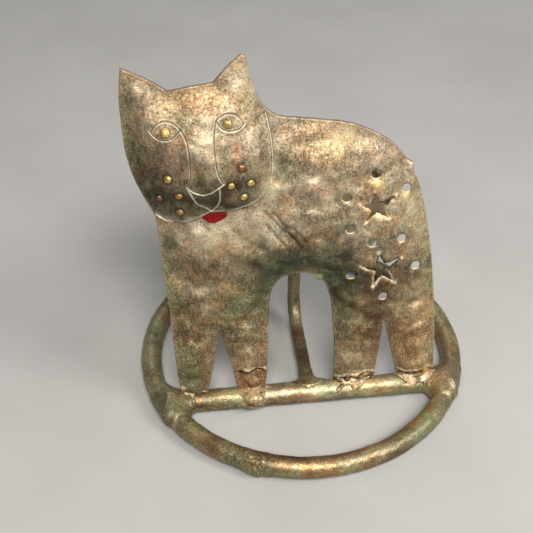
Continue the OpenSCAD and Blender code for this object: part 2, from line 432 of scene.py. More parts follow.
# ---- Meshes
def new_piece(name, verts, faces, material, node_names):
    """A mesh object from points in millimetres that rides on the part in place of its CAD nodes."""
    mesh = bpy.data.meshes.new(name)
    mesh.from_pydata((np.asarray(verts) * MM).tolist(), [], [list(map(int, f)) for f in faces])
    mesh.validate()
    mesh.update()
    mesh.polygons.foreach_set("use_smooth", [True] * len(mesh.polygons))
    mesh.materials.append(material)
    piece = bpy.data.objects.new(name, mesh)
    bpy.context.scene.collection.objects.link(piece)
    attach(piece, "root")
    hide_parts(*node_names)
    return piece


def set_masks(piece, **masks):
    """Numbers from 0 to 1 at a piece's points, which its material reads by name."""
    for name, values in masks.items():
        attribute = piece.data.attributes.new(name, "FLOAT", "POINT")
        attribute.data.foreach_set("value", np.clip(values, 0, 1).astype(np.float32))


def points_of(piece):
    """A piece's points in millimetres."""
    return np.array([v.co[:] for v in piece.data.vertices]) / MM


def ball(subdivisions):
    """The points and faces of a ball of radius 1."""
    shape = bmesh.new()
    bmesh.ops.create_icosphere(shape, subdivisions=subdivisions, radius=1)
    verts = np.array([v.co[:] for v in shape.verts])
    faces = [[v.index for v in f.verts] for f in shape.faces]
    shape.free()
    return verts, faces


def within(loops, points):
    """Whether each point lies inside the first loop and outside the others."""
    result = inside(loops[0], points)
    for hole in loops[1:]:
        result &= ~inside(hole, points)
    return result


def grid_points(low, high, step):
    """A triangular grid of points over a rectangle."""
    rows = np.arange(low[1], high[1], step * math.sqrt(3) / 2)
    columns = np.arange(low[0], high[0], step)
    x, y = np.meshgrid(columns, rows)
    x = x + (np.arange(len(rows)) % 2)[:, None] * step / 2
    return np.stack([x.ravel(), y.ravel()], axis=1)


def triangulate(loops, extra, step, margin):
    """Triangles over the area inside the first loop and outside the others: loop points, then the rest."""
    rim = np.concatenate(loops)
    grid = grid_points(rim.min(axis=0), rim.max(axis=0), step)
    grid = grid[distance(tree_of([extra]), grid) > 0.6 * step]
    inner = np.concatenate([grid, extra])
    inner = inner[within(loops, inner)]
    inner = inner[distance(tree_of(loops), inner) > margin]
    points = np.concatenate([rim, inner])
    edges, start = [], 0
    for loop in loops:
        count = len(loop)
        edges += [(start + i, start + (i + 1) % count) for i in range(count)]
        start += count
    result = delaunay_2d_cdt([Vector(p) for p in points], edges, [], 0, 1e-7)
    out_points = np.array([v[:] for v in result[0]])
    source = np.array([o[0] if o else -1 for o in result[3]])
    faces = np.array([f for f in result[2] if len(f) == 3])
    return points, source[faces[within(loops, out_points[faces].mean(axis=1))]]


def rings_inside(loops, offsets):
    """Points set in from the loops, which round the cut edges and hold the shape near them."""
    found = []
    for i, loop in enumerate(loops):
        normal = square_to(np.roll(loop, -1, axis=0) - np.roll(loop, 1, axis=0))
        normal[inside(loop, loop + 0.05 * normal) != (i == 0)] *= -1
        found += [loop + offset * normal for offset in offsets]
    return np.concatenate(found)


def plate(loops, front, back, front_step, back_step, front_extra, edge_r):
    """A closed sheet between two reliefs: its points across, up and out, and its faces."""
    ring_tree = tree_of(loops)
    rings = rings_inside(loops, (0.3 * edge_r, edge_r))
    rings = rings[distance(ring_tree, rings) > 0.25 * edge_r]
    extra = np.concatenate([rings, front_extra])
    top, top_faces = triangulate(loops, extra, front_step, 0.25 * edge_r)
    low, low_faces = triangulate(loops, rings, back_step, 0.25 * edge_r)

    def rounding(points):
        inset = np.clip(edge_r - distance(ring_tree, points), 0, edge_r)
        return edge_r - np.sqrt(edge_r**2 - inset**2)

    points = np.concatenate([
        np.column_stack([top, front(top) - rounding(top)]),
        np.column_stack([low, back(low) + rounding(low)]),
    ])

    def turned(pts, tri, up):
        """Triangles with their corners in the order that faces them up, or down."""
        a, b, c = (pts[tri[:, i]] for i in range(3))
        area = (b[:, 0] - a[:, 0]) * (c[:, 1] - a[:, 1]) - (b[:, 1] - a[:, 1]) * (c[:, 0] - a[:, 0])
        flip = (area > 0) != up
        tri = tri.copy()
        tri[flip] = tri[flip][:, ::-1]
        return tri

    faces = [tuple(f) for f in turned(top, top_faces, True)]
    faces += [tuple(f + len(top)) for f in turned(low, low_faces, False)]
    start = 0
    for i, loop in enumerate(loops):
        count = len(loop)
        shifted = np.roll(loop, -1, axis=0)
        signed = (loop[:, 0] * shifted[:, 1] - shifted[:, 0] * loop[:, 1]).sum()
        forwards = (signed > 0) == (i == 0)
        for k in range(count):
            a, b = start + k, start + (k + 1) % count
            quad = (a, a + len(top), b + len(top), b)
            faces.append(quad if forwards else quad[::-1])
        start += count
    return points, faces, len(top)


# ---- Materials
class Graph:
    """Short calls that add nodes to one material."""

    def __init__(self, name):
        self.material = bpy.data.materials.new(name)
        self.material.use_nodes = True
        self.nodes = self.material.node_tree.nodes
        self.links = self.material.node_tree.links
        self.bsdf = self.nodes["Principled BSDF"]
        self.place = self.nodes.new("ShaderNodeTexCoord").outputs["Object"]

    def link(self, source, target):
        """Links a socket, or sets a number or a colour on the target itself."""
        if hasattr(source, "links"):
            self.links.new(source, target)
        else:
            target.default_value = (*source, 1) if isinstance(source, tuple) else source

    def noise(self, size_mm, detail, rough=0.55, distort=0.0, where=None):
        node = self.nodes.new("ShaderNodeTexNoise")
        node.inputs["Scale"].default_value = 1 / (size_mm * MM)
        node.inputs["Detail"].default_value = detail
        node.inputs["Roughness"].default_value = rough
        node.inputs["Distortion"].default_value = distort
        self.links.new(where or self.place, node.inputs["Vector"])
        return node.outputs["Fac"]

    def moved(self, x, y, z, scale=(1, 1, 1)):
        node = self.nodes.new("ShaderNodeMapping")
        node.inputs["Location"].default_value = (x, y, z)
        node.inputs["Scale"].default_value = scale
        self.links.new(self.place, node.inputs["Vector"])
        return node.outputs["Vector"]

    def between(self, value, low, high, out_low=0.0, out_high=1.0):
        node = self.nodes.new("ShaderNodeMapRange")
        node.interpolation_type = "SMOOTHSTEP"
        self.link(value, node.inputs["Value"])
        ends = {"From Min": low, "From Max": high, "To Min": out_low, "To Max": out_high}
        for key, number in ends.items():
            node.inputs[key].default_value = number
        return node.outputs["Result"]

    def math(self, kind, a, b):
        node = self.nodes.new("ShaderNodeMath")
        node.operation = kind
        self.link(a, node.inputs[0])
        self.link(b, node.inputs[1])
        return node.outputs[0]

    def mix(self, share, a, b, blend="MIX"):
        node = self.nodes.new("ShaderNodeMix")
        node.data_type = "RGBA"
        node.blend_type = blend
        self.link(share, node.inputs["Factor"])
        self.link(a, node.inputs[6])
        self.link(b, node.inputs[7])
        return node.outputs[2]

    def tint(self, share, color, tint):
        """A colour multiplied by a tint, in part."""
        return self.mix(share, color, tint, "MULTIPLY")

    def mask(self, name):
        node = self.nodes.new("ShaderNodeAttribute")
        node.attribute_name = name
        return node.outputs["Fac"]

    def bump(self, height, depth_mm, below=None):
        node = self.nodes.new("ShaderNodeBump")
        node.inputs["Strength"].default_value = 1
        node.inputs["Distance"].default_value = depth_mm * MM
        self.link(height, node.inputs["Height"])
        if below is not None:
            self.links.new(below, node.inputs["Normal"])
        return node.outputs["Normal"]

    def finish(self, color, roughness, metallic, normal=None):
        self.link(color, self.bsdf.inputs["Base Color"])
        self.link(roughness, self.bsdf.inputs["Roughness"])
        self.link(metallic, self.bsdf.inputs["Metallic"])
        if normal is not None:
            self.links.new(normal, self.bsdf.inputs["Normal"])
        return self.material


# Metal colours, then the tints that multiply them. FROST, BARE, TORN and GOLD also serve as painted
# highlight, UMBER, SHADE and PINE as painted shade
BRONZE = (0.105, 0.078, 0.043)
SILVER = (0.54, 0.445, 0.305)
UMBER = (0.020, 0.015, 0.009)
SHADE = (0.032, 0.025, 0.014)
PINE = (0.030, 0.044, 0.024)
GOLD = (0.56, 0.37, 0.11)
ROSE = (0.40, 0.285, 0.20)
BARE = (0.60, 0.56, 0.44)
FROST = (0.50, 0.435, 0.345)
TORN = (0.68, 0.55, 0.40)
WARM = (1.26, 0.90, 0.66)
GREEN = (0.80, 0.98, 0.78)
DEEP_GREEN = (0.55, 0.72, 0.52)
OCHRE = (1.0, 0.93, 0.74)
SAGE = (0.74, 0.95, 0.88)


def patina(graph, tone, warm, green):
    """Bronze rubbed to silver by a share, with copper and verdigris tints over it by theirs."""
    color = graph.mix(tone, BRONZE, SILVER)
    color = graph.tint(warm, color, WARM)
    return graph.tint(green, color, GREEN)


def grains(graph, color, dark, pale):
    """Pits and rubbed high spots the size of coarse sand, some pinkish and some greenish."""
    fleck = graph.noise(1.3, 3, 0.6, 0.0, graph.moved(0.9, 0.2, 0.1))
    grain = graph.noise(0.62, 3, 0.6)
    hue = graph.noise(1.2, 3, 0.6, 0.0, graph.moved(0.3, 0.6, 0.2))
    color = graph.tint(graph.between(hue, 0.52, 0.66, 0.0, 0.32), color, WARM)
    color = graph.tint(graph.between(hue, 0.48, 0.34, 0.0, 0.35), color, GREEN)
    color = graph.mix(graph.between(fleck, 0.54, 0.70, 0.0, 0.6 * dark), color, UMBER)
    color = graph.mix(graph.between(grain, 0.52, 0.64, 0.0, 1.3 * dark), color, UMBER)
    color = graph.mix(graph.between(grain, 0.47, 0.35, 0.0, pale), color, BARE)
    return color, fleck, grain


def metal_finish(graph, color, dull, fleck, grain, gloss=0.50):
    """Where the film lies the metal is duller, and the grain glints."""
    metallic = graph.between(dull, 0.0, 1.0, 0.82, 0.45)
    roughness = graph.between(fleck, 0.35, 0.65, gloss, gloss + 0.18)
    normal = graph.bump(grain, 0.08)
    normal = graph.bump(fleck, 0.15, normal)
    return graph.finish(color, roughness, metallic, normal)


def sheet_material():
    graph = Graph("patinated_sheet")
    cloud = graph.noise(9, 3, 0.5, 0.4)
    blotch = graph.noise(4.2, 3, 0.52, 0.5, graph.moved(0.25, 0.3, 0.9))
    brushed = graph.noise(0.9, 3, 0.6, 0.2, graph.moved(0.1, 0.7, 0.4, (1, 1, 0.3)))
    uneven = graph.between(blotch, 0.36, 0.58, 0.7, 1.0)
    ragged = graph.between(blotch, 0.64, 0.42, 0.5, 1.0)
    tone = graph.between(cloud, 0.36, 0.66, 0.24, 0.48)
    tone = graph.math("ADD", tone, graph.between(blotch, 0.35, 0.65, 0.08, -0.08))
    tone = graph.math("ADD", tone, graph.between(brushed, 0.35, 0.65, -0.14, 0.14))
    # Pale: rubbed silver and painted highlight, lifting the tone and frosting the colour.
    pale = graph.math("MULTIPLY", graph.mask("pale"), ragged)
    tone = graph.math("ADD", tone, graph.math("MULTIPLY", pale, 0.75))
    tone = graph.math("MAXIMUM", graph.math("MINIMUM", tone, 1.0), 0.0)
    rust = graph.noise(8, 4, 0.58, 0.8, graph.moved(0.7, 0.5, 0.3))
    warm = graph.between(rust, 0.42, 0.64, 0.0, 0.75)
    warm = graph.math("MAXIMUM", warm, graph.math("MULTIPLY", graph.mask("rust"), uneven))
    film = graph.noise(11, 4, 0.56, 0.4, graph.moved(0.15, 0.8, 0.6))
    moss = graph.math("MULTIPLY", graph.mask("moss"), ragged)
    green = graph.math("MAXIMUM", graph.between(film, 0.46, 0.66, 0.0, 0.55), moss)
    color = patina(graph, tone, warm, green)
    color = graph.mix(graph.math("MULTIPLY", pale, 0.6), color, FROST)
    color = graph.tint(graph.math("MULTIPLY", moss, moss), color, DEEP_GREEN)
    # Soot and painted shade, mixed toward dark brown, or dark green where the moss lies.
    shade = graph.math("MULTIPLY", graph.math("MULTIPLY", graph.mask("soot"), uneven), 0.9)
    color = graph.tint(graph.mask("low"), color, OCHRE)
    color, fleck, grain = grains(graph, color, 0.36, 0.40)
    color = graph.mix(shade, color, graph.mix(moss, SHADE, PINE))
    color = graph.mix(graph.math("MULTIPLY", graph.mask("edge"), uneven), color, ROSE)
    # Dark lines hold dirt and painted shade, bright lines polished metal and painted highlight.
    color = graph.mix(graph.mask("dark_line"), color, UMBER)
    color = graph.mix(graph.mask("bright_line"), color, BARE)
    # Painted shade on the upper walls of the openings and under the braze's edge, then bare metal and brass
    # with painted highlight on their lower walls.
    color = graph.mix(graph.mask("cut"), color, UMBER)
    color = graph.mix(graph.mask("torn"), color, TORN)
    color = graph.mix(graph.mask("gilt"), color, GOLD)
    return metal_finish(graph, color, green, fleck, grain)


def rough_metal(name, tone, warm, green):
    """Rods, weld metal and the dish: the same patina, in long bands of its own."""
    graph = Graph(name)
    cloud = graph.noise(16, 4, 0.55, 0.4)
    rust = graph.noise(22, 5, 0.6, 0.5, graph.moved(0.7, 0.5, 0.3))
    film = graph.noise(26, 5, 0.6, 0.4, graph.moved(0.15, 0.8, 0.6))
    rust_share = graph.math("MAXIMUM", graph.between(rust, 0.46, 0.62, 0.0, warm), graph.mask("rust"))
    green_share = graph.math("MAXIMUM", graph.between(film, 0.44, 0.60, 0.15, green), graph.mask("moss"))
    rust_share = graph.math("MULTIPLY", rust_share, graph.between(graph.mask("moss"), 0.0, 1.0, 1.0, 0.25))
    green_share = graph.math("MULTIPLY", green_share, graph.between(rust_share, 0.0, 1.0, 1.0, 0.15))
    rubbed = graph.between(cloud, 0.36, 0.62, tone - 0.16, tone + 0.16)
    # The pale mask adds rubbed metal, file marks and painted highlight.
    rubbed = graph.math("ADD", rubbed, graph.mask("pale"))
    color = patina(graph, rubbed, rust_share, green_share)
    color = graph.tint(graph.math("MULTIPLY", green_share, 0.4), color, SAGE)
    streak = graph.noise(7, 4, 0.6, 0.8, graph.moved(0.4, 0.4, 0.8))
    color = graph.mix(graph.between(streak, 0.55, 0.68, 0.0, 0.45), color, SHADE)
    color = graph.mix(graph.mask("pale"), color, FROST)
    color = graph.tint(0.45, color, OCHRE)
    # Soot and painted shade, mixed toward umber.
    color = graph.mix(graph.mask("soot"), color, UMBER)
    color, fleck, grain = grains(graph, color, 0.27, 0.27)
    return metal_finish(graph, color, green_share, fleck, grain, 0.35)


def braze_material():
    graph = Graph("braze")
    lump = graph.noise(3.4, 4, 0.6, 0.6)
    gold = graph.noise(2.6, 3, 0.6, 0.8, graph.moved(0.2, 0.5, 0.7, (1, 1, 2.2)))
    color = patina(graph, graph.between(lump, 0.62, 0.36, 0.15, 0.7), graph.noise(5, 3), 0.25)
    color = graph.mix(graph.between(gold, 0.56, 0.66, 0.0, 0.4), color, GOLD)
    color = graph.mix(graph.between(gold, 0.44, 0.36, 0.0, 0.5), color, TORN)
    color = graph.mix(graph.between(lump, 0.56, 0.64, 0.0, 0.7), color, UMBER)
    color = graph.mix(graph.mask("soot"), color, UMBER)
    color, fleck, grain = grains(graph, color, 0.2, 0.2)
    return metal_finish(graph, color, lump, fleck, grain)


def brass_material():
    graph = Graph("worn_brass")
    cloud = graph.noise(1.1, 4, 0.6)
    color = graph.mix(graph.between(cloud, 0.36, 0.60), (0.30, 0.18, 0.07), (0.66, 0.44, 0.15))
    color = graph.mix(graph.mask("rust"), color, (0.19, 0.085, 0.04))
    normal = graph.bump(graph.noise(0.5, 2, 0.5), 0.03)
    return graph.finish(color, 0.42, 0.7, normal)


def enamel_material():
    graph = Graph("red_enamel")
    cloud = graph.noise(1.6, 3, 0.5)
    color = graph.mix(graph.between(cloud, 0.4, 0.6), (0.11, 0.002, 0.002), (0.16, 0.003, 0.003))
    normal = graph.bump(cloud, 0.05)
    graph.bsdf.inputs["Specular IOR Level"].default_value = 0.15
    return graph.finish(color, 0.6, 0.0, normal)


SHEET = sheet_material()
ROD = rough_metal("patinated_rod", 0.21, 0.9, 1.0)
WELD = rough_metal("weld_metal", 0.23, 0.7, 1.0)
BRAZE = braze_material()
BRASS = brass_material()
ENAMEL = enamel_material()
DISH = rough_metal("dish_brass", 0.5, 0.5, 0.5)


# ---- The cat
def wavered(loop, amount, size, seed):
    """A loop whose line wanders a little, as snips and a chisel leave it."""
    return loop + amount * np.stack([ripple(loop, size, seed), ripple(loop, size, seed + 0.5)], axis=1)


def beside(line, offsets):
    """Points at set distances beside a line, on one side or, where negative, on the other."""
    normal = square_to(np.gradient(line, axis=0))
    return np.concatenate([line + offset * normal for offset in offsets])


def upward(points, middles):
    """How far round to the upper side of the nearest middle each point lies: 1 above it, -1 below."""
    middles = np.array(middles)
    away = points[:, None] - middles[None]
    length = np.linalg.norm(away, axis=2)
    nearest = length.argmin(axis=1)
    rows = np.arange(len(points))
    return (away[rows, nearest, 1] + 0.4 * away[rows, nearest, 0]) / (length[rows, nearest] + 1e-6)


def spots_mask(points, spots):
    return np.clip(sum(swell(points, at, radii, strength) for at, radii, strength in spots), 0, 1)


# Stains on the sheet: place, two radii and strength. The pale spots are rubbed silver with painted highlight,
# the soot spots soot with painted shade on the cheeks, under the head and above the arch
PALE = [
    ((-22, 121), (6, 7), 0.8), ((-33, 101), (3.5, 8), 0.6), ((-19, 102), (3, 6), 0.2),
    ((-53, 112), (5, 7), 0.2), ((-42, 95), (4, 6), 0.35), ((-15.5, 87), (3, 8), 0.9),
    ((-9, 105), (4, 3), 0.3), ((4, 101), (14, 4), 0.3), ((2, 85), (10, 5), 0.6),
    ((2.6, 47.4), (2, 1), 0.9), ((-25, 75), (10, 3), 0.9), ((-42, 71), (7, 4), 0.6),
    ((-14, 68), (4, 4), 0.4), ((20, 91), (5, 5), 0.5), ((20, 75), (5, 5), 0.5), ((32, 72), (5, 9), 0.6),
    ((-23, 72), (10, 6), 1.0), ((-37, 67), (8, 5), 0.5), ((-36, 46), (5, 4), 0.4), ((2, 71), (9, 4), 0.3),
    ((14, 64), (5, 5), 0.6), ((37, 58), (4, 12), 0.3), ((37, 30), (7, 8), 0.5), ((-22, 13), (5, 5), 0.4),
    ((19, 10), (6, 6), 0.4), ((41, 8), (3, 7), 0.5),
]
RUST = [
    ((24, 20), (12, 12), 0.7), ((38, 24), (7, 14), 0.7), ((23, 39), (7, 8), 0.8),
    ((38, 10), (6, 10), 0.9), ((6, 89), (6, 6), 0.4), ((5, 99), (14, 6), 0.85), ((30, 92), (6, 5), 0.5),
    ((-24, 66), (7, 6), 0.5), ((-22, 12), (7, 9), 0.5), ((-40, 88), (10, 9), 0.5),
    ((-38, 115), (13, 5), 0.9), ((-26, 114), (7, 5), 0.4), ((-43, 60), (4, 4), 0.6),
    ((-37, 18), (4, 6), 0.5),
]
MOSS = [
    ((-17, 40), (7, 16), 0.9), ((-3, 54), (15, 9), 1.0), ((0, 48), (12, 4), 0.6),
    ((12, 34), (5, 18), 0.7), ((-43, 10), (6, 13), 0.9), ((-47, 48), (5, 26), 0.8),
    ((-9, 92), (4, 8), 0.5), ((-15, 86), (3, 8), 0.5), ((-57, 100), (4, 22), 0.7),
    ((42, 52), (4, 22), 0.8), ((-19, 119), (4, 8), 0.5), ((-28, 32), (5, 16), 0.7),
    ((35, 70), (5, 14), 0.6), ((-44, 84), (10, 5), 0.4), ((-22, 70), (8, 5), 0.4),
    ((-29, 94), (3, 5), 0.5),
]
SOOT_AND_SHADE = [
    ((-49, 87), (9, 10), 0.9), ((-57, 98), (4, 14), 0.5), ((-43, 81), (11, 5), 0.7),
    ((-34, 88), (6, 7), 0.8), ((-29, 87), (6, 5), 0.6), ((20, 50), (6, 6), 0.3),
    ((-14.5, 104), (3, 5), 0.35), ((-47, 66), (4, 6), 0.5), ((35, 24), (4, 4), 0.5),
    ((-37, 99), (3, 6), 0.3), ((-23, 87), (6, 7), 0.7), ((-28, 81), (7, 3), 0.6),
    ((-20, 98), (4, 4), 0.2), ((-38, 113), (14, 7), 0.36), ((-27, 112), (4, 4), 0.2),
    ((-10, 94), (2.2, 7), 0.45), ((0, 58), (16, 8), 1.0), ((-14, 46), (6, 13), 0.95),
    ((-9, 68), (6, 5), 0.2), ((-20, 59), (7, 4), 0.7), ((-38, 56), (7, 4), 0.5), ((-27, 40), (9, 5), 0.6),
    ((-44, 36), (6, 8), 0.6), ((9, 45), (6, 16), 1.0), ((22, 45), (9, 10), 0.7), ((20, 29), (7, 8), 0.65),
    ((25, 19), (6, 8), 0.65), ((33, 46), (6, 8), 0.5), ((-41, 6), (6, 9), 0.6), ((-29, 18), (4, 6), 0.6),
    ((7, 74), (4, 3), 0.3), ((6, 87.5), (2.5, 1.5), 0.3), ((-50, 117), (4, 4), 0.25),
    ((13, 100), (8, 3), 0.15),
]
CHIPS = [((-45.6, 3.4), (1.0, 0.6), 1.0)]
FLAKES = [
    ((20.5, 83.6), (0.9, 1.2), 1.0), ((30.7, 77.2), (0.8, 0.6), 0.9), ((26, 46.6), (1.2, 0.5), 0.7),
]
PIN_PLACES = [*EYES.values(), *(at for spots in WHISKERS.values() for at in spots)]


def line_masks(piece, flat, front):
    """The chased lines: polished metal and painted highlight on the lit lips make them bright, dirt and
    painted shade in the furrows and round the pins make them dark.
    """
    polished, drawn = distance(bright_tree, flat), distance(dark_tree, flat)
    wear = 1.05 + 0.6 * ripple(flat, 3, 12)
    firm = 0.8 + 0.8 * ripple(flat, 2.2, 17)
    # Painted highlight along the lower lip of the jaw line, where that lip faces the light.
    chin_tree = tree_of([beside(line, (0.35,)) for line in lines_of(JAW, 0.1)])
    under_chin = ramp(88 - flat[:, 1], 0, 7) * (0.85 + 0.5 * ripple(flat, 4, 22))
    bright = np.maximum(fade(polished, 0.22), 0.5 * fade(drawn - 0.3, 0.14))
    bright = np.maximum(bright, near(chin_tree, flat, 0.28) * under_chin)
    dark = np.maximum(0.9 * firm * fade(drawn, 0.17), 0.5 * fade(polished - 0.34, 0.15))
    # A dark ring painted round each pin head as shade where the head meets the sheet.
    round_pins = 0.7 * fade(distance(tree_of([np.array(PIN_PLACES)]), flat) - 1.35, 0.4)
    set_masks(piece, bright_line=front * wear * bright, dark_line=front * np.maximum(dark, round_pins))


def edge_masks(piece, flat, front, stars):
    """Bare metal and brass where the openings were torn, punched or splashed, with painted highlight on the
    lower walls of the openings and painted shade on their upper walls and under the braze's raised edge.
    """
    torn = near(tree_of(stars), flat, 0.45) * (0.8 + 0.9 * ripple(flat, 1.3, 14))
    punched = near(hole_tree, flat, 0.22)
    star_up = upward(flat, [np.mean(tips, axis=0) for tips in STARS])
    hole_up = upward(flat, LIGHT_HOLES)
    # Lower walls of the openings take painted highlight, upper walls painted shade.
    below = np.maximum(torn * ramp(-star_up, -0.3, 0.2), 0.9 * punched * ramp(-hole_up, 0.2, 0.7))
    above = np.maximum(torn * ramp(star_up, 0, 0.4), punched * ramp(hole_up, -0.4, 0.2))
    gilt = np.maximum(below * ramp(ripple(flat, 3, 15), -0.2, 0.2), front * spots_mask(flat, FLAKES))
    run, lip, under = splash(flat)
    rear_run = front * run * (flat[:, 0] > 0)
    streaks = rear_run * ramp(ripple(flat * np.array([0.7, 1.6]), 1.6, 19), 0, 0.25)
    lip = np.maximum(lip, spots_mask(flat, CHIPS) * (0.9 + ripple(flat, 1.4, 18)))
    crumbs = np.maximum(0.8 * burrs(flat), 0.8 * nubs(flat) * ramp(flat[:, 0], 3, 12))
    strokes = 0.6 * front * near(stroke_tree, flat, 0.45)
    set_masks(
        piece,
        edge=near(outline_tree, flat, 0.35) * (0.35 + ripple(flat, 6, 13)),
        gilt=np.maximum(gilt, 0.7 * streaks),
        torn=np.maximum(below, front * np.maximum(crumbs, lip)),
        cut=np.maximum(above, front * under),
        soot=spots_mask(flat, SOOT_AND_SHADE) + strokes + 0.7 * rear_run * (0.8 + ripple(flat, 2.4, 20)),
        rust=spots_mask(flat, RUST) + 0.8 * front * run,
    )


def cat_sheet():
    outline = wavered(closed_line(OUTLINE, 0.4), 0.18, 3.5, 11)
    for at, radii, outwards in NUBS:
        outline += swell(outline, at, radii, 0.9)[:, None] * np.array(outwards)
    stars = [wavered(star_loop(tips, 0.25), 0.25, 1.1, 21 + i) for i, tips in enumerate(STARS)]
    loops = [outline, *(circle_loop(p, HOLE_R, 32) for p in LIGHT_HOLES), *stars]
    lines = lines_of(JAW + DARK_LINES + BRIGHT_LINES, 0.3)
    extra = [beside(line, (-0.7, -0.48, -0.3, -0.15, 0, 0.15, 0.3, 0.48, 0.7)) for line in lines]
    extra += [beside(line, (-0.3, 0, 0.3)) for tips in STARS for line in lines_of(star_edges(tips), 0.3)]
    extra = np.concatenate(extra)
    points, faces, tops = plate(
        loops, front_relief, back_relief, front_step=0.5, back_step=0.85, front_extra=extra, edge_r=0.25
    )
    verts = from_sheet(points[:, 0], points[:, 1], points[:, 2])
    piece = new_piece("cat_sheet_hammered", verts, faces, SHEET, ["cat_sheet"])
    flat = points[:, :2]
    front = np.arange(len(flat)) < tops
    line_masks(piece, flat, front)
    edge_masks(piece, flat, front, stars)
    low = 0.55 * ramp(80 - flat[:, 1], 0, 45)
    set_masks(piece, pale=spots_mask(flat, PALE), moss=spots_mask(flat, MOSS), low=low)


def tongue():
    loop = closed_line([[*TONGUE, TONGUE[0]]], 0.25)

    def front(points):
        return broad_relief(points) + 0.55

    def back(points):
        return broad_relief(points) - 0.1

    none = np.empty((0, 2))
    points, faces, _ = plate([loop], front, back, front_step=0.3, back_step=0.5, front_extra=none, edge_r=0.2)
    verts = from_sheet(points[:, 0], points[:, 1], points[:, 2])
    new_piece("tongue_leaf", verts, faces, ENAMEL, ["tongue"])


def surface_frame(at):
    """A point on the front of the sheet with the directions across, up and out of it there."""
    step = 0.6
    u, s = at
    spots = np.array([(u, s), (u + step, s), (u - step, s), (u, s + step), (u, s - step)])
    out = broad_relief(spots)
    here = from_sheet(u, s, out[0])
    across = unit(from_sheet(u + step, s, out[1]) - from_sheet(u - step, s, out[2]))
    up = from_sheet(u, s + step, out[3]) - from_sheet(u, s - step, out[4])
    outward = unit(np.cross(across, up))
    return here, across, np.cross(outward, across), outward


def dome(at, r, height, seed, square=0.0):
    """The points and faces of one pin: a domed head that sinks into the sheet, squared a little or not."""
    here, across, up, outward = surface_frame(at)
    verts, faces = ball(4)
    bulge = 1 + 0.10 * ripple(verts, 0.9, seed) + square * np.abs(verts[:, 0] * verts[:, 1])
    verts = np.array([r, r, height]) * (verts * bulge[:, None])
    return here + verts @ np.array([across, up, outward]), faces


# How far the brass of each whisker pin has turned to copper
COPPER_PINS = {"whisker_pins_left": (0.2, 0.75, 1, 0.7), "whisker_pins_right": (0.9, 0.4, 0, 0.1)}


def pins():
    for i, (node, at) in enumerate(EYES.items()):
        verts, faces = dome(at, r=1.35 - 0.15 * i, height=0.85, seed=31 + i, square=0.35)
        new_piece(node + "_nugget", verts, faces, BRASS, [node])
    for side, (node, spots) in enumerate(WHISKERS.items()):
        verts, faces, copper = [], [], []
        for k, at in enumerate(spots):
            points, tris = dome(at, r=1.18, height=0.8, seed=41 + 10 * side + k)
            faces += [[i + len(verts) for i in tri] for tri in tris]
            verts += list(points)
            copper += [COPPER_PINS[node][k]] * len(points)
        piece = new_piece(node + "_domed", verts, faces, BRASS, [node])
        set_masks(piece, rust=np.array(copper))


# ---- Rods
def rod(name, path, r, binormal, closed, material, node, slot, dents, sides=40):
    """A round bar along a flat path, with hammer marks pressed into it."""
    path = np.asarray(path, float)
    if closed:
        along = np.roll(path, -1, axis=0) - np.roll(path, 1, axis=0)
    else:
        along = np.gradient(path, axis=0)
    side = unit(np.cross(binormal, unit(along)))
    turn = np.linspace(0, 2 * math.pi, sides, endpoint=False)
    around = np.cos(turn)[None, :, None] * side[:, None] + np.sin(turn)[None, :, None] * np.array(binormal)
    press = dents((path[:, None] + r * around).reshape(-1, 3)).reshape(len(path), sides)
    verts = (path[:, None] + (r - press)[..., None] * around).reshape(-1, 3)
    faces, rings = [], len(path)
    for i in range(rings if closed else rings - 1):
        j = (i + 1) % rings
        for k in range(sides):
            m = (k + 1) % sides
            faces.append((i * sides + k, i * sides + m, j * sides + m, j * sides + k))
    if not closed:
        faces.append(tuple(range(sides - 1, -1, -1)))
        faces.append(tuple((rings - 1) * sides + k for k in range(sides)))
    return new_piece(name, verts, faces, material, [node])


def filed(points):
    """Two short bites of a file on the ring's outer left."""
    turn = np.degrees(np.arctan2(points[:, 1], points[:, 0]))
    outer = ramp(np.hypot(points[:, 0], points[:, 1]) - RING_R, 0.5, 2.5)
    return outer * (arc(turn, -149, 0.9) + 0.8 * arc(turn, -146, 0.7))


def worn(points):
    """How deep the hammer and the file went, in millimetres."""
    broad = 0.16 * (1 + ripple(points, 7, 51))
    small = 0.09 * (1 + ripple(points, 2.4, 52))
    scar = 0.22 * ramp(ripple(points, 4.5, 53), 0.25, 0.6)
    return broad + small + scar + 0.35 * filed(points)


